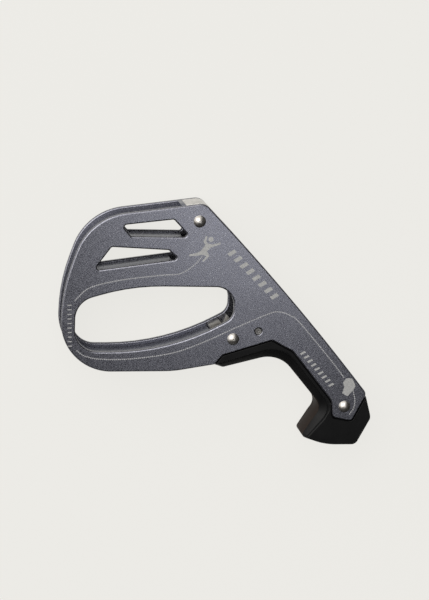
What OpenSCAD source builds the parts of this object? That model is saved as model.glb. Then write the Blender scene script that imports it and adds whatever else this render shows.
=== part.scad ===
// Passive belay device for one rope: two side plates on a core frame, a rope channel between
// them, steel wear parts and a plastic lever handle. It lies flat: X runs from the closed end of
// the carabiner slot to the hook of the handle, Y runs up to the rope channel, Z is its thickness.

/* [Side plates] */
// Thickness of each side plate
plate_t = 2; // [1.5:0.25:3]
// Clear width of the rope channel between the plates
rope_gap = 12; // [11:0.5:14]
// Depth of the groove between the plate rims
groove_depth = 1.5; // [0.5:0.25:1.7]
// How far the core frame stands back in the two windows
window_recess = 0.8; // [0.3:0.1:1]

/* [Rivets and pins] */
// Diameter of the domed rivet heads
head_d = 4.5; // [4:0.1:6]
// Height of the domed rivet heads
head_h = 1.4; // [1:0.1:2]
// Diameter of the rivet shanks
shank_d = 3; // [2.5:0.1:3.6]
// Diameter of the locating pin beside the brake insert rivet
pin_d = 2.6; // [2:0.1:3]
// Diameter of the hidden dowels between the plates and the core frame
dowel_d = 3; // [2:0.1:3.5]
// How deep the dowels sit in each plate
dowel_bite = 1; // [0.5:0.1:1.2]

/* [Handle] */
// Depth of the slanted edge along the underside of the handle
bevel_depth = 2.3; // [1:0.1:3]
// How far the face of the bulb stands above the side plates
bulb_step = 0.4; // [0:0.1:0.8]
// Outer diameter of the metal sleeve in the handle
sleeve_d = 5; // [4.4:0.1:6]
// Thickness of the thumb pad
pad_t = 1.2; // [0.8:0.1:1.6]
// Width of the thumb pad
pad_w = 11.4; // [8:0.2:11.4]
// How far up the neck the thumb pad reaches, on the Y axis
pad_top = -26; // [-30:0.5:-22]

/* [Hidden] */

arc_step = 4;             // degrees between the points of an arc
gap = 0.1;                // working clearance between pieces that fit together
seam = 0.3;               // visible seam between the plates and the handle
bore_play = 0.05;         // radial play of a shank in its hole
body_t = 2 * plate_t + rope_gap;
front_z = head_h + body_t;
core_z = head_h + plate_t;
middle_z = head_h + body_t / 2;

// Outlines: one entry per corner, counter-clockwise, as [x, y, corner radius]
plate_corners = [
    [-59.2, -17.7, 19], [-17, -17.3, 40], [-1.4, -14.6, 0.6], [1.3, -11.1, 1], [19.8, -5.3, 1.2],
    [27.9, -9.5, 3], [43.9, -28.9, 4], [44.4, -35.3, 2], [52.2, -36.8, 1.8], [57.5, -26, 2.6],
    [26.5, 11.7, 900], [-7.4, 46.1, 4.5], [-49.8, 40.2, 22], [-59.2, 12.9, 66]];
slot_corners = [
    [-54, -10, 8.5], [-18.8, -9.95, 86], [4.8, 3.2, 5], [4.8, 14.85, 7], [-33.5, 14.95, 80],
    [-54, 8.7, 8.5]];
upper_window_corners = [
    [-34.3, 33.5, 0.8], [-12.6, 33.5, 1], [-18.9, 40, 1], [-38, 37.6, 1]];
lower_window_corners = [
    [-47.8, 20.6, 1], [-16.4, 25.2, 0.8], [-20.4, 28.6, 1], [-41.4, 29.5, 1]];

// The open space of the rope channel and of the handle, where the core frame stops
channel_edge = [
    [-3.2, -60, 0], [70, -60, 0], [70, 60, 0], [-14.5, 60, 0], [-14.5, 33.3, 3], [-23.4, 14, 0],
    [-3.2, 0, 0]];
// Flush end of the groove beside the top insert
land_corners = [[-16, 40, 0], [-14.5, 40, 0], [-14.5, 60, 0], [-16, 60, 0.6]];
top_insert_corners = [
    [-14.4, 34.8, 1.5], [-5.4, 34.2, 5], [3, 39, 2], [3, 60, 0], [-14.4, 60, 0]];
brake_insert_corners = [
    [-3.1, -8.6, 0.6], [8, -7.6, 8], [18.6, -4.2, 2.4], [18.6, 2.3, 2.4], [3.6, 2.3, 0.8],
    [1.9, -0.5, 0.3], [0.9, 0.4, 0.4], [-3.1, -1.6, 0.3]];
// Where the plastic of the handle fills the space between the plates
tongue_corners = [
    [-3, -40, 0], [70, -40, 0], [70, 2.3, 0], [18.4, 2.3, 0], [18.4, -4, 0], [-3, -9, 0]];

// Underside of the handle: each convex length has its inner, full-thickness part
tip_outer = [
    [-1.6, -15, 0.4], [2, -16.2, 1.5], [16.1, -12.6, 0], [17, -5.5, 0], [1.3, -10.6, 0]];
tip_inner = [[-1.2, -14.6, 0.2], [15.3, -9.3, 0], [17, -5.5, 0], [1.3, -10.6, 0]];
neck_outer = [[27.7, -16.3, 0], [41.5, -32.4, 0], [44.6, -30, 0], [27.9, -9, 0], [22, -6, 0]];
neck_inner = [[29.8, -14.2, 0], [41.9, -29.4, 0], [44.6, -30, 0], [27.9, -9, 0], [22, -6, 0]];
// Between them the underside is a concave bend round bend_xy
bend_corners = [[15.6, -13.2, 0], [28.4, -17, 0], [30, -11, 0], [19.8, -5, 0], [16.6, -6, 0]];
bend_xy = [19, -23.7];
bend_r = 11.5;
bend_face_r = 14.6;
bulb_outer = [
    [39, -29.4, 0], [37.9, -35.2, 0], [33.1, -43.15, 1.4], [42.5, -46.65, 25], [54.6, -46.6, 3],
    [60.1, -35.5, 2.6], [57.7, -27.4, 0.5], [44, -28, 0]];
bulb_inner = [
    [42.4, -30.6, 3], [34.6, -43.3, 1], [42.8, -45.95, 25], [54.2, -45.95, 2.6],
    [59.5, -35.5, 2.2], [57.4, -27.9, 0.5], [44, -28, 0]];
// Concave thumb rest, from the neck round to the point of the hook
thumb_corners = [[20, -19, 0], [20, -42.2, 0], [32.4, -42.2, 0], [40.7, -31.6, 4.6], [30, -19, 0]];

top_rivet_xy = [-9.4, 39.5];
brake_rivet_xy = [5, -4.8];
handle_rivet_xy = [49, -30.9];
pin_xy = [14.4, -1.8];
dowel_xy = [[-49.2, 27.5], [-29, 18.9], [-22, -12.6]];

// Points of the arc that rounds the corner b between its neighbours a and c
function unit(v) = v / norm(v);
function arc_at(a, b, c) =
    let (p = [b.x, b.y],
         u = unit([a.x, a.y] - p),
         v = unit([c.x, c.y] - p),
         half = acos(u * v) / 2,
         middle = p + unit(u + v) * b[2] / sin(half),
         turn = 180 - 2 * half,
         steps = max(2, ceil(turn / arc_step), ceil(turn * b[2] / 360)),
         side = sign(u.x * v.y - u.y * v.x),
         start = p + u * b[2] / tan(half) - middle)
    b[2] == 0 ? [p] : [for (i = [0:steps]) middle + turned(start, -side * turn * i / steps)];
function turned(v, angle) =
    [v.x * cos(angle) - v.y * sin(angle), v.x * sin(angle) + v.y * cos(angle)];
function rounded(corners) =
    [for (i = [0:len(corners) - 1])
        each arc_at(corners[(i + len(corners) - 1) % len(corners)], corners[i],
            corners[(i + 1) % len(corners)])];

// The same outline moved inwards by d, or outwards where d is below 0
function left_of(v) = [-v.y, v.x];
function inset(corners, d) =
    [for (i = [0:len(corners) - 1])
        let (a = corners[(i + len(corners) - 1) % len(corners)],
             b = corners[i],
             c = corners[(i + 1) % len(corners)],
             u = unit([b.x - a.x, b.y - a.y]),
             v = unit([c.x - b.x, c.y - b.y]),
             push = d * (left_of(u) + left_of(v)) / (1 + u * v),
             bend = sign(u.x * v.y - u.y * v.x))
        [b.x + push.x, b.y + push.y, max(0, b[2] - bend * d)]];

// The model's origin is under the middle of its plan
plan = concat(rounded(plate_corners), rounded(bulb_outer));
plan_x = [for (p = plan) p.x];
plan_y = [for (p = plan) p.y];
plan_middle = [(max(plan_x) + min(plan_x)) / 2, (max(plan_y) + min(plan_y)) / 2, 0];

module slab(corners, z, height) {
    translate([0, 0, z])
        linear_extrude(height)
            polygon(rounded(corners));
}

module rod(xy, d, z, height) {
    translate([xy.x, xy.y, z])
        cylinder(d = d, h = height, $fn = 48);
}

// Both plates are the same; inner_z is the height of the face that the dowels enter
module side_plate(z, inner_z) {
    difference() {
        slab(plate_corners, z, plate_t);
        slab(slot_corners, z - 1, plate_t + 2);
        slab(upper_window_corners, z - 1, plate_t + 2);
        slab(lower_window_corners, z - 1, plate_t + 2);
        for (xy = [top_rivet_xy, brake_rivet_xy, handle_rivet_xy])
            rod(xy, shank_d + 2 * bore_play, z - 1, plate_t + 2);
        rod(pin_xy, pin_d + 2 * bore_play, z - 1, plate_t + 2);
        for (xy = dowel_xy)
            rod(xy, dowel_d, inner_z - dowel_bite, 2 * dowel_bite);
    }
}

module front_side_plate() {
    color("slategray")
        translate(-plan_middle)
            side_plate(front_z - plate_t, front_z - plate_t);
}

module rear_side_plate() {
    color("slategray")
        translate(-plan_middle)
            side_plate(head_h, core_z);
}

module core_frame() {
    color([0.27, 0.3, 0.36])
        translate(-plan_middle)
            difference() {
                union() {
                    difference() {
                        slab(inset(plate_corners, groove_depth), core_z, rope_gap);
                        slab(channel_edge, core_z - 1, rope_gap + 2);
                    }
                    intersection() {
                        slab(plate_corners, core_z, rope_gap);
                        slab(land_corners, core_z, rope_gap);
                    }
                }
                slab(inset(slot_corners, -groove_depth), core_z - 1, rope_gap + 2);
                slab(inset(upper_window_corners, -window_recess), core_z - 1, rope_gap + 2);
                slab(inset(lower_window_corners, -window_recess), core_z - 1, rope_gap + 2);
                for (xy = dowel_xy)
                    rod(xy, dowel_d, core_z - 1, rope_gap + 2);
            }
}

module top_wear_insert() {
    color("gainsboro")
        translate(-plan_middle)
            difference() {
                intersection() {
                    slab(plate_corners, core_z, rope_gap);
                    slab(top_insert_corners, core_z, rope_gap);
                }
                rod(top_rivet_xy, shank_d + 2 * bore_play, core_z - 1, rope_gap + 2);
            }
}

module brake_insert() {
    color("silver")
        translate(-plan_middle)
            difference() {
                slab(brake_insert_corners, core_z, rope_gap);
                rod(brake_rivet_xy, shank_d + 2 * bore_play, core_z - 1, rope_gap + 2);
                rod(pin_xy, pin_d + 2 * bore_play, core_z - 1, rope_gap + 2);
            }
}

// One convex length of the underside: full width in the middle, slanted to the faces
module bevelled(outer, inner, step) {
    hull() {
        slab(outer, head_h + bevel_depth, body_t - 2 * bevel_depth);
        slab(inner, head_h - step, body_t + 2 * step);
    }
}

// The bend between the tip and the neck, slanted like them
module bevelled_bend() {
    difference() {
        slab(bend_corners, head_h, body_t);
        rod(bend_xy, 2 * bend_r, 0, front_z + 1);
        for (side = [0, 1])
            translate([bend_xy.x, bend_xy.y, middle_z])
                mirror([0, 0, side])
                    translate([0, 0, body_t / 2 - bevel_depth])
                        cylinder(r1 = bend_r, r2 = bend_face_r, h = bevel_depth, $fn = 96);
    }
}

module thumb_profile(z, height) {
    slab(thumb_corners, z, height);
}

// The pad's pocket, and the thumb rest in front of it
module pad_space() {
    intersection() {
        slab(inset(thumb_corners, -pad_t), middle_z - pad_w / 2, pad_w);
        translate([20, pad_top - 20, 0])
            cube([25, 20, front_z]);
    }
}

module handle_body() {
    color([0.09, 0.09, 0.1])
        translate(-plan_middle)
            difference() {
                union() {
                    bevelled(tip_outer, tip_inner, 0);
                    bevelled_bend();
                    bevelled(neck_outer, neck_inner, 0);
                    bevelled(bulb_outer, bulb_inner, bulb_step);
                    intersection() {
                        slab(inset(plate_corners, 0.5), core_z + gap, rope_gap - 2 * gap);
                        slab(tongue_corners, core_z + gap, rope_gap - 2 * gap);
                    }
                }
                slab(inset(plate_corners, -seam), front_z - plate_t - gap, plate_t + 2);
                slab(inset(plate_corners, -seam), -1, core_z + gap + 1);
                slab(inset(brake_insert_corners, -gap), core_z, rope_gap);
                thumb_profile(-1, front_z + 3);
                pad_space();
                rod(handle_rivet_xy, sleeve_d, core_z - 1, rope_gap + 2);
            }
}

module thumb_pad() {
    color([0.16, 0.14, 0.14])
        translate(-plan_middle)
            intersection() {
                difference() {
                    pad_space();
                    thumb_profile(0, front_z);
                }
                union() {
                    slab(neck_outer, 0, front_z);
                    slab(bulb_outer, 0, front_z);
                }
            }
}

module handle_sleeve() {
    color("darkgray")
        translate(-plan_middle)
            difference() {
                rod(handle_rivet_xy, sleeve_d, core_z, rope_gap);
                rod(handle_rivet_xy, shank_d + 2 * bore_play, core_z - 1, rope_gap + 2);
            }
}

// A domed head standing on the plane z = 0: a cap of a sphere
module rivet_head() {
    ball_r = (head_d * head_d / 4 + head_h * head_h) / (2 * head_h);
    intersection() {
        translate([0, 0, head_h - ball_r])
            sphere(r = ball_r, $fn = 64);
        cylinder(d = head_d, h = head_h, $fn = 64);
    }
}

module rivet(xy) {
    color("silver")
        translate(-plan_middle)
            union() {
                rod(xy, shank_d, head_h, body_t);
                translate([xy.x, xy.y, front_z])
                    rivet_head();
                translate([xy.x, xy.y, head_h])
                    mirror([0, 0, 1])
                        rivet_head();
            }
}

module top_rivet() {
    rivet(top_rivet_xy);
}

module brake_insert_rivet() {
    rivet(brake_rivet_xy);
}

module handle_rivet() {
    rivet(handle_rivet_xy);
}

// The pin stops short of both faces
module insert_pin() {
    sunk = 0.3;
    color("silver")
        translate(-plan_middle)
            rod(pin_xy, pin_d, head_h + sunk, body_t - 2 * sunk);
}

module core_dowels() {
    color("gray")
        translate(-plan_middle)
            for (xy = dowel_xy)
                rod(xy, dowel_d, core_z - dowel_bite, rope_gap + 2 * dowel_bite);
}

front_side_plate();
rear_side_plate();
core_frame();
top_wear_insert();
brake_insert();
handle_body();
thumb_pad();
handle_sleeve();
top_rivet();
brake_insert_rivet();
handle_rivet();
insert_pin();
core_dowels();
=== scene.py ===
import math

import bmesh
import bpy
from mathutils import Matrix, Vector
from mathutils.geometry import tessellate_polygon


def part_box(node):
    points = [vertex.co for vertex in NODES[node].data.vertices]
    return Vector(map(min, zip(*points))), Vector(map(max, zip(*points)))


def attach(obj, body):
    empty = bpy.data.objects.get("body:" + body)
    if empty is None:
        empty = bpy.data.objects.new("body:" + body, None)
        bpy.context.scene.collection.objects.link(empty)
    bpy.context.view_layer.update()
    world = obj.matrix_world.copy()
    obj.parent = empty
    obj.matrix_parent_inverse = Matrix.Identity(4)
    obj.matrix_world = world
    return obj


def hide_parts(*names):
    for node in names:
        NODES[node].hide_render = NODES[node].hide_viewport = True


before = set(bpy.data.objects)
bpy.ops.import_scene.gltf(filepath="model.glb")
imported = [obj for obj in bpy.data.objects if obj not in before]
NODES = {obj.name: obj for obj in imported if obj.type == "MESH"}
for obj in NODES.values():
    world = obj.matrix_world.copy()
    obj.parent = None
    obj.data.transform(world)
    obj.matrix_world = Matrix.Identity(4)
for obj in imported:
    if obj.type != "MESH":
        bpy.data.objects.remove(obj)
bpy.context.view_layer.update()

# ---------------------------------------------------------------- sizes, in metres
MM = 0.001
BODY = "root"                        # nothing moves, so the device is one body
REAR_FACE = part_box("rear_side_plate")[0].z
REAR_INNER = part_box("rear_side_plate")[1].z
FRONT_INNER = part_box("front_side_plate")[0].z
FRONT_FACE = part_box("front_side_plate")[1].z
CLEARANCE = 0.1 * MM                 # between the handle and the metal round it
HAIR = 0.02 * MM                     # keeps apart two faces that would otherwise coincide
PAST = 2 * MM                        # a cutter reaches this far past what it cuts

# Outlines below are drawn in the plan of the part, in mm, where the handle's rivet is here
RIVET_IN_PLAN = Vector((49, -30.9))
PLAN = (sum(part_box("handle_rivet"), Vector()) / 2).to_2d() - RIVET_IN_PLAN * MM

PLATE_ROUND = 0.5 * MM               # rounded rims of the side plates
HOLE_ROUND = 0.3 * MM                # broken edges of their round holes
RIM_ROUND = 0.45 * MM                # edges of the plates towards the groove
INNER_ROUND = 0.15 * MM              # broken edges of the pieces between the plates
ROUND_STEPS = 6                      # facets across one rounded edge
EDGE_FLAT = 0.55                     # edges are between a quarter circle (0) and a chamfer (1)
LAND = 0.03 * MM                     # flat strip that keeps a rounded edge off the flat face
SMALL_HOLE = 4 * MM                  # outlines smaller than this are round holes
SMOOTH_ANGLE = math.radians(32)      # edges that turn by less than this are shaded smooth

WELD = 0.001 * MM                    # CAD vertices this close together are one
CLOSEST = 0.02 * MM                  # an outline's points are no closer together than this
LEVEL = 0.01 * MM                    # a face this close to a height lies at that height
FLAT = 0.9                           # the z of a flat face's normal is at least this
TIP_LIMIT = 0.3                      # keeps a sharp tip from shooting out when its outline is moved


# ---------------------------------------------------------------- outlines
def signed_area(loop):
    """The outline's area, below zero when it runs clockwise."""
    return sum(a.x * b.y - b.x * a.y for a, b in zip(loop, loop[1:] + loop[:1])) / 2


def extent(loop):
    """The outline's size along X."""
    xs = [p.x for p in loop]
    return max(xs) - min(xs)


def face_loops(node, z):
    """Outlines of a CAD node's flat face at height z: the outer one first, counter-clockwise,
    and then its holes, clockwise."""
    mesh = NODES[node].data
    places, index = {}, []
    for vertex in mesh.vertices:
        key = tuple(round(c / WELD) for c in vertex.co)
        index.append(places.setdefault(key, (len(places), vertex.co.copy())))
    points = [p for _, p in sorted(places.values(), key=lambda entry: entry[0])]
    edges = set()
    for face in mesh.polygons:
        level = all(abs(mesh.vertices[i].co.z - z) < LEVEL for i in face.vertices)
        if not level or abs(face.normal.z) < FLAT:
            continue
        ring = [index[i][0] for i in face.vertices]
        if face.normal.z < 0:
            ring.reverse()
        edges.update(zip(ring, ring[1:] + ring[:1]))
    following = {a: b for a, b in edges if (b, a) not in edges}
    loops = []
    while following:
        first, current = following.popitem()
        loop = [first]
        while current != first:
            loop.append(current)
            current = following.pop(current)
        loops.append(tidied([points[i].to_2d() for i in loop]))
    return sorted(loops, key=signed_area, reverse=True)


def tidied(loop):
    """The outline without the points that crowd each other."""
    kept = [loop[0]]
    for point in loop[1:]:
        if (point - kept[-1]).length > CLOSEST:
            kept.append(point)
    if (kept[-1] - kept[0]).length < CLOSEST:
        kept.pop()
    return kept


def inset_loop(loop, distance):
    """The outline moved towards its material, which is on its left."""
    moved = []
    for before, here, after in zip(loop[-1:] + loop[:-1], loop, loop[1:] + loop[:1]):
        u = (here - before).normalized()
        v = (after - here).normalized()
        push = Vector((-u.y - v.y, u.x + v.x)) / max(TIP_LIMIT, 1 + u.dot(v))
        moved.append(here + distance * push)
    return moved


def rounded_outline(corners, step=math.radians(6), fixed=None):
    """The outline of corners (x, y, radius) in plan, with an arc at each corner: an angle of step
    between its points, or a fixed number of steps, so that two such outlines can be joined up."""
    outline = []
    for before, here, after in zip(corners[-1:] + corners[:-1], corners, corners[1:] + corners[:1]):
        tip = Vector(here[:2])
        u = (Vector(before[:2]) - tip).normalized()
        v = (Vector(after[:2]) - tip).normalized()
        half = u.angle(v) / 2
        centre = tip + (u + v).normalized() * here[2] / math.sin(half)
        start = tip + u * here[2] / math.tan(half) - centre
        turn = math.pi - 2 * half
        side = 1 if u.x * v.y - u.y * v.x < 0 else -1
        steps = fixed or max(2, math.ceil(turn / step))
        for i in range(steps + 1):
            spot = centre + Matrix.Rotation(side * turn * i / steps, 2) @ start
            outline.append(PLAN + spot * MM)
    return outline


# ---------------------------------------------------------------- meshes
def make_object(name, bm):
    """Turns the mesh under construction into an object of the scene, shaded smooth between edges."""
    bmesh.ops.recalc_face_normals(bm, faces=bm.faces)
    for face in bm.faces:
        face.smooth = True
    mesh = bpy.data.meshes.new(name)
    bm.to_mesh(mesh)
    bm.free()
    mesh.set_sharp_from_angle(angle=SMOOTH_ANGLE)
    piece = bpy.data.objects.new(name, mesh)
    bpy.context.scene.collection.objects.link(piece)
    return piece


def edge_profile(z_low, z_high, round_low, round_high):
    """(inset, z) of each ring up the side of a slab, over both of its rounded edges."""
    rings = []
    for z, radius, way in ((z_low, round_low, 1), (z_high, round_high, -1)):
        edge = [(radius + LAND, z)]
        for i in range(ROUND_STEPS + 1):
            share = i / ROUND_STEPS
            arc = math.pi / 2 * share
            inset = radius * (EDGE_FLAT * (1 - share) + (1 - EDGE_FLAT) * (1 - math.sin(arc)))
            depth = radius * (EDGE_FLAT * share + (1 - EDGE_FLAT) * (1 - math.cos(arc)))
            edge.append((inset, z + way * depth))
        rings += edge if way == 1 else edge[::-1]
    return rings


def add_slab(bm, loops, z_low, z_high, round_low, round_high):
    """Adds a plate of the outlines' shape with rounded edges; small round holes get smaller ones."""
    caps = {0: [], -1: []}
    for loop in loops:
        small = extent(loop) < SMALL_HOLE and loop is not loops[0]
        low = min(round_low, HOLE_ROUND) if small else round_low
        high = min(round_high, HOLE_ROUND) if small else round_high
        rings = []
        for inset, z in edge_profile(z_low, z_high, low, high):
            rings.append([bm.verts.new((p.x, p.y, z)) for p in inset_loop(loop, inset)])
        for lower, upper in zip(rings, rings[1:]):
            for i in range(len(loop)):
                j = (i + 1) % len(loop)
                bm.faces.new((lower[i], lower[j], upper[j], upper[i]))
        for end in caps:
            caps[end].append(rings[end])
    for rings in caps.values():
        verts = [v for ring in rings for v in ring]
        for triangle in tessellate_polygon([[v.co for v in ring] for ring in rings]):
            bm.faces.new([verts[i] for i in triangle])


def rounded_slab(name, loops, z_low, z_high, round_low, round_high):
    """An object of its own from the outlines that add_slab takes."""
    bm = bmesh.new()
    add_slab(bm, loops, z_low, z_high, round_low, round_high)
    return make_object(name, bm)


def add_lathe(bm, centre, profile, segments=72):
    """Turns (radius, z) points, from one pole to the other, round a vertical axis."""
    rings = []
    for radius, z in profile:
        if radius == 0:
            rings.append([bm.verts.new((centre.x, centre.y, z))] * segments)
            continue
        ring = []
        for i in range(segments):
            angle = 2 * math.pi * i / segments
            ring.append(bm.verts.new((centre.x + radius * math.cos(angle),
                                      centre.y + radius * math.sin(angle), z)))
        rings.append(ring)
    for lower, upper in zip(rings, rings[1:]):
        for i in range(segments):
            j = (i + 1) % segments
            bm.faces.new(list(dict.fromkeys((lower[i], lower[j], upper[j], upper[i]))))


def add_stack(bm, rings):
    """Joins (outline, z) rings of equally many points, from the bottom up, into a closed solid."""
    rings = [[bm.verts.new((p.x, p.y, z)) for p in outline] for outline, z in rings]
    for lower, upper in zip(rings, rings[1:]):
        for i in range(len(lower)):
            j = (i + 1) % len(lower)
            bm.faces.new((lower[i], lower[j], upper[j], upper[i]))
    for ring, order in ((rings[0], -1), (rings[-1], 1)):
        for triangle in tessellate_polygon([[v.co for v in ring]]):
            bm.faces.new([ring[i] for i in triangle][::order])


def stack(name, rings):
    """An object of its own from the rings that add_stack takes."""
    bm = bmesh.new()
    add_stack(bm, rings)
    return make_object(name, bm)


def combine(piece, tool, operation):
    """Joins the solid tool to the piece, or cuts it out of the piece, and uses it up."""
    change = piece.modifiers.new("change", "BOOLEAN")
    change.operation = operation
    change.solver = "MANIFOLD"
    change.object = tool
    graph = bpy.context.evaluated_depsgraph_get()
    settled = bpy.data.meshes.new_from_object(piece.evaluated_get(graph))
    piece.modifiers.clear()
    piece.data = settled
    bpy.data.objects.remove(tool)


def place(piece, material, slot, *nodes):
    """Gives a piece its material, and lets it ride on the body in place of its CAD nodes."""
    piece.data.materials.clear()
    piece.data.materials.append(material)
    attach(piece, BODY)
    if nodes:
        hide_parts(*nodes)


# ---------------------------------------------------------------- material helpers
class Shader:
    """A material's node tree round its Principled shader, with object coordinates in metres."""

    def __init__(self, name, **settings):
        self.material = bpy.data.materials.new(name)
        self.material.use_nodes = True
        self.tree = self.material.node_tree
        self.principled = self.tree.nodes["Principled BSDF"]
        self.coords = self.tree.nodes.new("ShaderNodeTexCoord").outputs["Object"]
        for socket, value in settings.items():
            self.principled.inputs[socket.replace("_", " ")].default_value = value

    def node(self, kind, links=None, **values):
        made = self.tree.nodes.new(kind)
        for socket, value in values.items():
            made.inputs[socket.replace("_", " ")].default_value = value
        for socket, source in (links or {}).items():
            self.tree.links.new(source, made.inputs[socket])
        return made

    def noise(self, size, detail=2.0, stretch=None):
        """Noise whose features are about size metres across, 0.5 on average."""
        vector = self.coords
        if stretch:
            vector = self.node("ShaderNodeMapping", {"Vector": vector}, Scale=stretch).outputs["Vector"]
        made = self.node("ShaderNodeTexNoise", {"Vector": vector}, Scale=1 / size, Detail=detail)
        return made.outputs["Fac"]

    def spread(self, source, low, high, out_low=0.0, out_high=1.0):
        """Maps low..high of source onto out_low..out_high, and holds it at both ends."""
        made = self.node("ShaderNodeMapRange", {"Value": source}, From_Min=low, From_Max=high,
                         To_Min=out_low, To_Max=out_high)
        return made.outputs["Result"]

    def mix(self, amount, first, second, blend="MIX"):
        """A colour from first to second as amount goes from 0 to 1; each is a socket or a value."""
        made = self.tree.nodes.new("ShaderNodeMix")
        made.data_type = "RGBA"
        made.blend_type = blend
        factor, colour_a, colour_b = made.inputs[0], made.inputs[6], made.inputs[7]
        for socket, value in ((factor, amount), (colour_a, first), (colour_b, second)):
            if isinstance(value, bpy.types.NodeSocket):
                self.tree.links.new(value, socket)
            else:
                socket.default_value = (*value, 1) if isinstance(value, tuple) else value
        return made.outputs[2]

    def bump(self, height, distance, strength):
        made = self.node("ShaderNodeBump", {"Height": height}, Strength=strength, Distance=distance)
        return made.outputs["Normal"]

    def set(self, **links):
        """Feeds sockets of the Principled shader, and gives the finished material."""
        for socket, source in links.items():
            self.tree.links.new(source, self.principled.inputs[socket.replace("_", " ")])
        return self.material


# ---------------------------------------------------------------- materials
def blasted_aluminium(name, dark, light, glint, roughness):
    """Bead-blasted and anodised: a fine metallic grain with brighter flecks."""
    shader = Shader(name, Metallic=0.92)
    grain = shader.noise(0.45 * MM, 3)
    flecks = shader.noise(0.3 * MM, 1)
    drift = shader.noise(14 * MM, 2)
    base = shader.mix(shader.spread(grain, 0.32, 0.68), dark, light)
    base = shader.mix(shader.spread(flecks, 0.58, 0.72), base, glint)
    shade = shader.mix(shader.spread(drift, 0.3, 0.7), (0.94, 0.94, 0.94), (1.0, 1.0, 1.0))
    return shader.set(Base_Color=shader.mix(1.0, base, shade, "MULTIPLY"),
                      Roughness=shader.spread(grain, 0.3, 0.7, roughness - 0.06, roughness + 0.06),
                      Normal=shader.bump(grain, 0.015 * MM, 0.25))


def brushed_steel(name, dark, light, roughness, patch=2.5 * MM, edge=0.15):
    """Machined steel: fine scratches drawn out along the plates, and patches between dark and light of
    the size patch, whose outlines are sharper the smaller edge is: stains on most steels, and painted
    highlights on painted shade on the brake insert's."""
    shader = Shader(name, Metallic=1.0)
    scratches = shader.noise(0.9 * MM, 4, stretch=(1, 1, 8))
    tarnish_and_sheen = shader.noise(patch, 3)
    base = shader.mix(shader.spread(tarnish_and_sheen, 0.5 - edge, 0.5 + edge), dark, light)
    return shader.set(Base_Color=base,
                      Roughness=shader.spread(scratches, 0.3, 0.7, roughness - 0.08, roughness + 0.1),
                      Normal=shader.bump(scratches, 0.02 * MM, 0.5))


def tumbled_steel():
    """Rivets: polished by tumbling, with faint dents and a warm cast."""
    shader = Shader("rivet_steel", Metallic=1.0)
    dents = shader.noise(0.7 * MM, 2)
    stain = shader.noise(1.6 * MM, 3)
    base = shader.mix(shader.spread(stain, 0.35, 0.65), (0.27, 0.255, 0.235), (0.40, 0.385, 0.37))
    return shader.set(Base_Color=base,
                      Roughness=shader.spread(dents, 0.3, 0.7, 0.34, 0.46),
                      Normal=shader.bump(dents, 0.03 * MM, 0.35))


def moulded_plastic(name, dark, light, grain_size, relief, roughness, **settings):
    """Moulded plastic with the spark-eroded grain of its tool."""
    shader = Shader(name, **settings)
    grain = shader.noise(grain_size, 2)
    drift = shader.noise(6 * MM, 3)
    base = shader.mix(shader.spread(drift, 0.3, 0.7), dark, light)
    return shader.set(Base_Color=base,
                      Roughness=shader.spread(drift, 0.3, 0.7, roughness - 0.04, roughness + 0.05),
                      Normal=shader.bump(grain, relief, 0.6))


def bleached_mark(name, dark, light):
    """Laser marks: matt, pale, and slightly broken up by the grain under them."""
    shader = Shader(name, Metallic=0.25)
    grain = shader.noise(0.5 * MM, 2)
    base = shader.mix(shader.spread(grain, 0.3, 0.7), dark, light)
    return shader.set(Base_Color=base,
                      Roughness=shader.spread(grain, 0.3, 0.7, 0.55, 0.7),
                      Normal=shader.bump(grain, 0.01 * MM, 0.5))


def studio_floor():
    """A lit pale table: it glows a little, so that the device throws hardly any shadow on it."""
    shader = Shader("studio_floor", Roughness=0.9, Specular_IOR_Level=0.0,
                    Emission_Color=(0.80, 0.79, 0.755, 1), Emission_Strength=0.985)
    cloud = shader.noise(0.4, 1)
    return shader.set(Base_Color=shader.mix(cloud, (0.030, 0.0295, 0.0285), (0.034, 0.0335, 0.0325)))


aluminium = blasted_aluminium("anodised_aluminium", (0.083, 0.084, 0.101), (0.138, 0.139, 0.159),
                              (0.25, 0.25, 0.27), 0.28)
# The pieces between the plates: the plates' aluminium painted darker and bluer, as painted shade and a
# painted bluish reflection in the groove, windows and slot that they line.
core_aluminium = blasted_aluminium("core_aluminium", (0.050, 0.055, 0.080), (0.10, 0.105, 0.135),
                                   (0.20, 0.21, 0.25), 0.30)
steel = brushed_steel("steel", (0.50, 0.48, 0.44), (0.70, 0.68, 0.64), 0.30)
# The brake insert's steel: painted nearly black as the shade of the slot it sits in, with small sharp pale
# patches as painted highlights.
shaded_polished_steel = brushed_steel("shaded_polished_steel", (0.014, 0.012, 0.010), (0.13, 0.115, 0.10), 0.20,
                               patch=1.4 * MM, edge=0.07)
pale_steel = brushed_steel("pale_steel", (0.50, 0.49, 0.47), (0.62, 0.60, 0.58), 0.42)
dark_steel = brushed_steel("dark_steel", (0.12, 0.115, 0.11), (0.20, 0.195, 0.185), 0.32)
rivet_steel = tumbled_steel()
black_plastic = moulded_plastic("black_plastic", (0.0022, 0.0022, 0.0023), (0.0034, 0.0034, 0.0036),
                                0.35 * MM, 0.03 * MM, 0.46, Specular_IOR_Level=0.09)
pad_plastic = moulded_plastic("pad_plastic", (0.0125, 0.0095, 0.0080), (0.0165, 0.0125, 0.0105),
                              0.25 * MM, 0.01 * MM, 0.45, Specular_IOR_Level=0.015)
mark_grey = bleached_mark("mark_grey", (0.19, 0.19, 0.19), (0.27, 0.27, 0.265))
strand_grey = bleached_mark("strand_grey", (0.20, 0.20, 0.205), (0.28, 0.28, 0.285))


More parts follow.
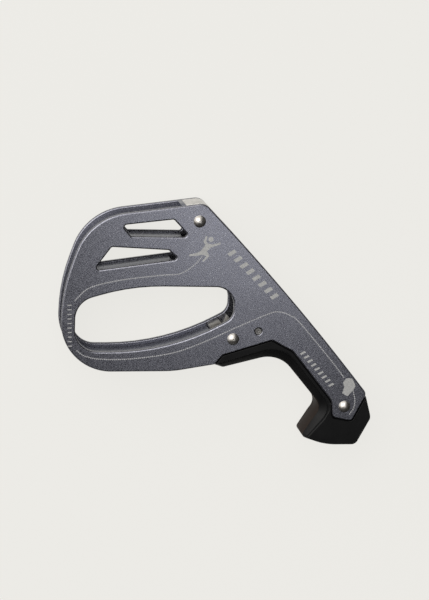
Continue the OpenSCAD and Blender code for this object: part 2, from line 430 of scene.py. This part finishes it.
# ---------------------------------------------------------------- camera, lights and floor
AIM = (PLAN + Vector((-2.7, 10.1)) * MM).to_3d() + Vector((0, 0, FRONT_FACE))
SENSOR_HEIGHT = 36                   # of the camera, in mm
FOCAL_LENGTH = 108                   # of its lens, in mm
CAMERA_DISTANCE = 0.666
CAMERA_TILT = math.radians(15.55)    # off the vertical
CAMERA_SIDE = math.radians(126.3)    # towards which side, from +X
CAMERA_ROLL = math.radians(2.49)
NEAR_FLOOR = 0.2                     # radius of the floor that shows in the shiny edges
FAR_FLOOR = 3
BRIGHT_SIDE = (-0.60, 0.70, 0.38)    # the studio is brightest in this direction
BRIGHT = 3.0                         # strength of its light there
DIM = 0.06                           # and away from there


def toward(tilt, side):
    """The direction that leans tilt off the vertical, towards side, an angle from +X."""
    return Vector((math.sin(tilt) * math.cos(side), math.sin(tilt) * math.sin(side), math.cos(tilt)))


def facing(away, roll=0.0):
    """The rotation of a camera or light that looks against the direction away, with +Y upwards."""
    right = Vector((0, 1, 0)).cross(away).normalized()
    up = away.cross(right)
    turned = right * math.cos(roll) + up * math.sin(roll)
    return Matrix((turned, away.cross(turned), away)).transposed().to_euler()


def make_camera():
    data = bpy.data.cameras.new("photo_camera")
    data.sensor_fit = "VERTICAL"
    data.sensor_height = SENSOR_HEIGHT
    data.lens = FOCAL_LENGTH
    data.clip_start = 0.01
    camera = bpy.data.objects.new("photo_camera", data)
    away = toward(CAMERA_TILT, CAMERA_SIDE)
    camera.location = AIM + away * CAMERA_DISTANCE
    camera.rotation_euler = facing(away, CAMERA_ROLL)
    bpy.context.scene.collection.objects.link(camera)
    bpy.context.scene.camera = camera


def soft_light(name, position, away, width, height, watts, colour):
    """A rectangular light at position that shines against the direction away."""
    data = bpy.data.lights.new(name, "AREA")
    data.shape = "RECTANGLE"
    data.size = width
    data.size_y = height
    data.energy = watts
    data.color = colour
    light = bpy.data.objects.new(name, data)
    light.location = position
    light.rotation_euler = facing(away)
    bpy.context.scene.collection.objects.link(light)


def make_world():
    """A studio that is bright towards the upper left and almost black towards the lower right."""
    world = bpy.data.worlds.new("studio")
    world.use_nodes = True
    tree = world.node_tree
    direction = tree.nodes.new("ShaderNodeTexCoord").outputs["Generated"]
    across = tree.nodes.new("ShaderNodeVectorMath")
    across.operation = "DOT_PRODUCT"
    across.inputs[1].default_value = BRIGHT_SIDE
    tree.links.new(direction, across.inputs[0])
    ramp = tree.nodes.new("ShaderNodeMapRange")
    ramp.interpolation_type = "SMOOTHSTEP"
    ramp.inputs["From Min"].default_value = 0.25
    ramp.inputs["From Max"].default_value = 0.9
    ramp.inputs["To Min"].default_value = DIM
    ramp.inputs["To Max"].default_value = BRIGHT
    tree.links.new(across.outputs["Value"], ramp.inputs["Value"])
    background = tree.nodes["Background"]
    background.inputs["Color"].default_value = (1.0, 0.985, 0.955, 1)
    tree.links.new(ramp.outputs["Result"], background.inputs["Strength"])
    bpy.context.scene.world = world


def make_floor():
    """The table near the device shows in its shiny edges; the rest of it is there for the eye only."""
    material = studio_floor()
    for name, inner, outer in (("studio_floor_near", 0, NEAR_FLOOR),
                               ("studio_floor_far", NEAR_FLOOR, FAR_FLOOR)):
        bm = bmesh.new()
        add_lathe(bm, Vector(), [(inner, 0), (outer, 0)], segments=96)
        floor = make_object(name, bm)
        floor.data.materials.append(material)
        floor.visible_glossy = inner == 0


make_camera()
make_world()
make_floor()
KEY_AWAY = toward(math.radians(42), math.radians(134))
soft_light("key_softbox", KEY_AWAY * 0.75, KEY_AWAY, width=0.75, height=0.75, watts=5.5,
           colour=(1.0, 0.99, 0.97))
soft_light("top_softbox", Vector((0.175, 0.02, 0.9)), Vector((0, 0, 1)), width=0.19, height=0.38,
           watts=1.15, colour=(0.97, 0.98, 1.0))
bpy.context.scene.view_settings.view_transform = "Standard"


# ---------------------------------------------------------------- plates, frame and inserts
def make_layer(node, finish, outline_z, low, high, material, slot):
    """Rebuilds a flat CAD node from its outlines at outline_z; low and high are the height of each
    of its faces and the rounding of their edges."""
    (z_low, round_low), (z_high, round_high) = low, high
    layer = rounded_slab(node + finish, face_loops(node, outline_z), z_low, z_high, round_low, round_high)
    place(layer, material, slot, node)


make_layer("front_side_plate", "_rounded", FRONT_FACE, (FRONT_INNER, RIM_ROUND), (FRONT_FACE, PLATE_ROUND),
           aluminium, "anodised_aluminium")
make_layer("rear_side_plate", "_rounded", REAR_FACE, (REAR_FACE, PLATE_ROUND), (REAR_INNER, RIM_ROUND),
           aluminium, "anodised_aluminium")
# The core's aluminium is painted darker and bluer than the plates', as painted shade and painted
# reflection.
for node, finish, material, slot in (("core_frame", "_blasted", core_aluminium, "core_aluminium"),
                                     ("top_wear_insert", "_ground", pale_steel, "steel"),
                                     # the brake insert's steel is painted nearly black as shade, with
                                     # painted highlights
                                     ("brake_insert", "_ground", shaded_polished_steel, "steel")):
    make_layer(node, finish, FRONT_INNER, (REAR_INNER, INNER_ROUND), (FRONT_INNER, INNER_ROUND),
               material, slot)


# ---------------------------------------------------------------- handle
# Both outlines of the handle, as corners in plan: at the middle of its thickness, and where the
# slanted edge meets its faces. They have the same corners, so that they can be joined up.
UNDER_PLATES = [(56.4, -27.2, 0.5), (51.9, -36, 0.5), (45.1, -34.8, 0.5), (44.7, -28.6, 0.5),
                (28.1, -8.6, 0.5), (19.8, -4.6, 0.5), (1, -10.3, 0.5), (-1.1, -13.7, 0.5)]
HANDLE_OUTER = [(-1.6, -15, 0.4), (2, -16.2, 1.8), (23.1, -10.8, 11.5), (40.7, -31.6, 4.6),
                (37.9, -35.2, 8), (33.1, -43.15, 1.4), (42.5, -46.65, 25), (54.6, -46.6, 3),
                (60.05, -35.5, 2.6), (57.7, -27.4, 0.5)] + UNDER_PLATES
HANDLE_INNER = [(-1.2, -14.6, 0.4), (-0.2, -14.4, 0.3), (23.9, -6.9, 12), (44.4, -31.8, 6),
                (40.8, -35.9, 8), (34.6, -43.3, 1), (42.8, -45.95, 25), (54.2, -45.95, 2.6),
                (59.5, -35.5, 2.2), (57.4, -27.9, 0.5)] + UNDER_PLATES
CORNER_STEPS = 10                    # of each corner's arc
# The raised bulb at the hooked end
BULB_FACE = [(43, -29.6, 0.6), (43.3, -32.2, 5), (41.15, -36, 8), (34.9, -43.2, 0.6), (42.8, -45.8, 25),
             (54.2, -45.8, 2.6), (59.35, -35.6, 2.2), (57.2, -27.8, 0.6), (56.2, -27.5, 0.6),
             (51.8, -35.6, 0.5), (45.3, -34.5, 0.5), (45, -28.9, 0.6)]
BULB_STEP = 0.4 * MM                 # the bulb's faces stand proud of the plates
BULB_ROUND = 0.38 * MM               # rounding of their edges
# Slanted edge: (share of the way from the outer to the inner outline, depth in mm)
SLANT = [(0, 2.9), (0.01, 2.6), (0.05, 2.38), (0.13, 2.12), (0.26, 1.78), (0.45, 1.33), (0.65, 0.9),
         (0.82, 0.56), (0.91, 0.38), (0.95, 0.34), (0.98, 0.45), (1.03, 0.45), (1.06, 0.1), (1.09, 0.01),
         (1.12, 0), (1.135, 0)]
SEAM = 0.3 * MM                      # gap between the handle and the plates' rims
SEAM_FLARE = 0.12 * MM               # the gap widens by this much, over as much depth
# Thumb rest: its pad lies along the outer outline, from the neck round the hook
PAD = [(36.2, -26.3, 0.1), (40.7, -31.6, 4.6), (37.9, -35.2, 8), (33.1, -43.15, 1.4), (35.2, -43.93, 0.1),
       (35.35, -43, 0.3), (38.93, -35.9, 9), (42.2, -31.5, 5.8), (37.1, -25.5, 0.1)]
PAD_TRIM = 2.3 * MM                  # the pad ends this far from the plates' faces


def slanted_rings():
    """The handle's rings from its rear face, round its middle, to its front face."""
    outer = rounded_outline(HANDLE_OUTER, fixed=CORNER_STEPS)
    inner = rounded_outline(HANDLE_INNER, fixed=CORNER_STEPS)
    rings = []
    for share, depth in SLANT:
        rings.append(([a.lerp(b, share) for a, b in zip(outer, inner)], depth * MM))
    return ([(ring, REAR_FACE + depth) for ring, depth in rings[::-1]]
            + [(ring, FRONT_FACE - depth) for ring, depth in rings])


def seam_cutter(name, face, way):
    """What the plate at face takes out of the handle, with a broken edge; way points outwards."""
    outline = face_loops("front_side_plate", FRONT_FACE)[0]
    inner_face = FRONT_INNER if way == 1 else REAR_INNER
    rings = [(SEAM, inner_face - way * CLEARANCE), (SEAM, face - way * SEAM_FLARE),
             (SEAM + SEAM_FLARE, face), (SEAM + SEAM_FLARE, face + way * PAST)]
    return stack(name, [(inset_loop(outline, -grown), z) for grown, z in rings[::way]])


def make_handle():
    handle = stack("handle_body_moulded", slanted_rings())
    bulb = rounded_slab("bulb", [rounded_outline(BULB_FACE)], REAR_FACE - BULB_STEP,
                        FRONT_FACE + BULB_STEP, BULB_ROUND, BULB_ROUND)
    combine(handle, bulb, "UNION")
    combine(handle, seam_cutter("front_seam", FRONT_FACE, 1), "DIFFERENCE")
    combine(handle, seam_cutter("rear_seam", REAR_FACE, -1), "DIFFERENCE")
    low, high = REAR_INNER + CLEARANCE, FRONT_INNER - CLEARANCE
    tongue = rounded_slab("tongue", face_loops("handle_body", low), low + HAIR, high - HAIR,
                          INNER_ROUND, INNER_ROUND)
    combine(handle, tongue, "UNION")
    pad = rounded_outline(PAD)
    low, high = REAR_FACE + PAD_TRIM, FRONT_FACE - PAD_TRIM
    pocket = inset_loop(pad, -HAIR)
    combine(handle, stack("pocket", [(pocket, low), (pocket, high)]), "DIFFERENCE")
    handle.data.set_sharp_from_angle(angle=SMOOTH_ANGLE)
    place(handle, black_plastic, "black_plastic", "handle_body")
    place(rounded_slab("thumb_pad_moulded", [pad], low, high, INNER_ROUND, INNER_ROUND),
          pad_plastic, "pad_plastic", "thumb_pad")


make_handle()


# ---------------------------------------------------------------- rivets and pin
SHANK_R = 1.5 * MM
DIMPLE_R = 0.28 * MM
DIMPLE_DEPTH = 0.06 * MM
DIMPLE_SIDE = (0.6, 0.7)             # a point on its side: share of its radius, share of its depth
HEAD_RIM = 0.08 * MM                 # the dome ends this far above the plate
UNDER_HEAD = 0.01 * MM               # the head's flat underside stays this far off the plate
DOME_STEPS = 14
# Half the section of the pin's dished end: (share of the radius, depth in mm)
PIN_DISH = [(0, 0.06), (0.34, 0.06), (0.4, 0.5), (0.64, 0.5), (0.7, 0.03), (0.97, 0.03)]
PIN_CHAMFER = 0.16 * MM


def make_rivet(node):
    """A shank with a domed head on each plate; each dome has the small dimple of its setting tool."""
    low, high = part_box(node)
    head_h = high.z - FRONT_FACE
    head_r = (high.x - low.x) / 2
    ball_r = (head_r ** 2 + head_h ** 2) / (2 * head_h)
    out, down = DIMPLE_SIDE
    dome = [(0, head_h - DIMPLE_DEPTH), (DIMPLE_R * out, head_h - DIMPLE_DEPTH * down)]
    widest = math.asin((head_r - HEAD_RIM) / ball_r)
    narrowest = math.asin(DIMPLE_R / ball_r)
    for i in range(DOME_STEPS + 1):
        angle = narrowest + (widest - narrowest) * i / DOME_STEPS
        dome.append((ball_r * math.sin(angle), head_h - ball_r * (1 - math.cos(angle))))
    dome += [(head_r, HEAD_RIM), (head_r, UNDER_HEAD), (SHANK_R, UNDER_HEAD)]
    front = [(radius, FRONT_FACE + z) for radius, z in dome]
    rear = [(radius, REAR_FACE - z) for radius, z in dome]
    bm = bmesh.new()
    add_lathe(bm, (low + high) / 2, rear + front[::-1])
    place(make_object(node + "_domed", bm), rivet_steel, "rivet_steel", node)


def make_pin(node):
    """A pin whose ends are dished, with a raised middle."""
    low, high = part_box(node)
    radius = (high.x - low.x) / 2
    dish = [(share * (radius - PIN_CHAMFER), depth * MM) for share, depth in PIN_DISH]
    dish += [(radius - PIN_CHAMFER, 0), (radius, PIN_CHAMFER)]
    rear = [(r, low.z + depth) for r, depth in dish]
    front = [(r, high.z - depth) for r, depth in dish]
    bm = bmesh.new()
    add_lathe(bm, (low + high) / 2, rear + front[::-1], segments=48)
    place(make_object(node + "_dished", bm), dark_steel, "rivet_steel", node)


for rivet in ("top_rivet", "brake_insert_rivet", "handle_rivet"):
    make_rivet(rivet)
make_pin("insert_pin")

# The pieces inside keep their CAD shape
for node in ("handle_sleeve", "core_dowels"):
    NODES[node].data.materials.clear()
    NODES[node].data.materials.append(steel)


# ---------------------------------------------------------------- marks on the front plate
MARK_HEIGHT = 0.02 * MM              # the light marks stand this proud of the plate
MARK_CORNER = math.radians(15)       # step of the arcs at their corners
FINE_STEP = 0.2                      # mm, for measuring along a curve


def smooth_path(points, step):
    """Evenly spaced (place, direction) pairs along a smooth curve through points, in mm."""
    points = [Vector(p) for p in points]
    ends = [2 * points[0] - points[1]] + points + [2 * points[-1] - points[-2]]
    fine = []
    for a, b, c, d in zip(ends, ends[1:], ends[2:], ends[3:]):
        pieces = max(4, math.ceil((c - b).length / FINE_STEP))
        for i in range(pieces):
            t = i / pieces
            fine.append(0.5 * (2 * b + (c - a) * t + (2 * a - 5 * b + 4 * c - d) * t ** 2
                               + (3 * b - a - 3 * c + d) * t ** 3))
    fine.append(points[-1])
    path, travelled, due = [], 0.0, 0.0
    for a, b in zip(fine, fine[1:]):
        length = (b - a).length
        while due <= travelled + length:
            path.append((a + (b - a) * (due - travelled) / length, (b - a).normalized()))
            due += step
        travelled += length
    return path


def add_mark(bm, outline):
    """A thin patch of the outline's shape, standing a hair proud of the front plate."""
    if signed_area(outline) < 0:
        outline = outline[::-1]
    add_stack(bm, [(outline, FRONT_FACE), (outline, FRONT_FACE + MARK_HEIGHT)])


def slanted_bar(middle, along, length, height, slant):
    """A parallelogram round middle, in mm of the plan: length along its row and height across it.
    Its upper edge is moved along the row by slant, and its lower edge as far back."""
    across = Vector((-along.y, along.x))
    half, rise = along * length / 2, across * height / 2
    lean = along * slant
    corners = [middle - half - rise - lean, middle + half - rise - lean,
               middle + half + rise + lean, middle - half + rise + lean]
    return [PLAN + corner * MM for corner in corners]


# The rope's way through the device, drawn as a broken line of slanted strands, in mm
ROPE_PATHS = [
    [(-8.1, 26.3), (-11, 23), (-16, 19.9), (-23.4, 19.2), (-38.1, 17.2), (-49, 14.3), (-54.5, 9.4)],
    [(-53.1, -9.5), (-50.1, -11.5), (-44.5, -12.6), (-33.4, -12.5), (-18.6, -10.4), (-7.5, -6.6),
     (7.3, 0.3), (18.4, 5.1), (22.2, 5.7), (26.1, 4.4), (30, 1.6), (42.3, -12.3), (48.3, -19.7)],
    [(52, -24.8), (52.9, -28.3), (52.6, -31.5), (50.8, -34.4)]]
STRAND_PITCH = 0.74
STRAND_LENGTH = 0.5
STRAND_WIDTH = 0.4
STRAND_SLANT = 0.12

# A climber, as corners, with a separate round head
CLIMBER = [(-1.3, 31.8, 0.2), (-4.4, 31, 0.4), (-6, 31.3, 0.4), (-6.7, 32.1, 0.3), (-6.3, 34.1, 0.2),
           (-6.9, 34.2, 0.2), (-7.8, 32.1, 0.4), (-7, 30.8, 0.4), (-8.6, 28.5, 0.4), (-10.2, 27.7, 0.4),
           (-12.8, 27.2, 0.2), (-12.8, 26.5, 0.2), (-9.7, 26.7, 0.5), (-8.1, 27.1, 0.5), (-7.1, 26.8, 0.2),
           (-6.4, 26.5, 0.3), (-8, 24.8, 0.2), (-7.4, 24.5, 0.2), (-5.3, 26.6, 0.4), (-5.8, 27.7, 0.3),
           (-6.4, 28.3, 0.3), (-5, 29.8, 0.4), (-1.3, 31.1, 0.2)]
CLIMBER_HEAD = (-5.0, 32.9)
HEAD_R = 0.95
HEAD_SIDES = 24
# A mitten that holds the rope, as corners
HAND = [(47.8, -25.7, 0.3), (48.5, -23.3, 0.5), (47.9, -21.5, 0.8), (49.1, -19.8, 0.9),
        (51.4, -19.9, 1.2), (52.9, -22.7, 1.2), (52.1, -24.4, 0.6), (49.9, -26.9, 0.3)]
# Rows of plain slanted bars: first and last middle, number, length and height of a bar, its slant
BAR_ROWS = [((3.1, 27.9), (19.8, 11.7), 8, 1.5, 2.9, 0.35),
            ((31.8, -10), (43.4, -22.4), 9, 0.8, 2.0, 0.25)]
# The same for the small ticks along the strap at the closed end
TICKS = ((-56.3, 7.7), (-55.8, -7.7), 10, 0.35, 1.5, 0.0)


def rope_mark():
    bm = bmesh.new()
    for points in ROPE_PATHS:
        for middle, along in smooth_path(points, STRAND_PITCH):
            add_mark(bm, slanted_bar(middle, along, STRAND_LENGTH, STRAND_WIDTH, STRAND_SLANT))
    return make_object("rope_path_mark", bm)


def figure_marks():
    bm = bmesh.new()
    add_mark(bm, rounded_outline(CLIMBER, MARK_CORNER))
    add_mark(bm, rounded_outline(HAND, MARK_CORNER))
    head = []
    for i in range(HEAD_SIDES):
        angle = 2 * math.pi * i / HEAD_SIDES
        spot = Vector(CLIMBER_HEAD) + HEAD_R * Vector((math.cos(angle), math.sin(angle)))
        head.append(PLAN + spot * MM)
    add_mark(bm, head)
    return make_object("figure_marks", bm)


def bar_marks():
    bm = bmesh.new()
    for first, last, count, length, height, slant in BAR_ROWS + [TICKS]:
        first, last = Vector(first), Vector(last)
        along = (last - first).normalized()
        for i in range(count):
            middle = first.lerp(last, i / (count - 1))
            add_mark(bm, slanted_bar(middle, along, length, height, slant))
    return make_object("bar_marks", bm)


place(rope_mark(), strand_grey, "anodised_aluminium")
place(figure_marks(), mark_grey, "anodised_aluminium")
place(bar_marks(), mark_grey, "anodised_aluminium")
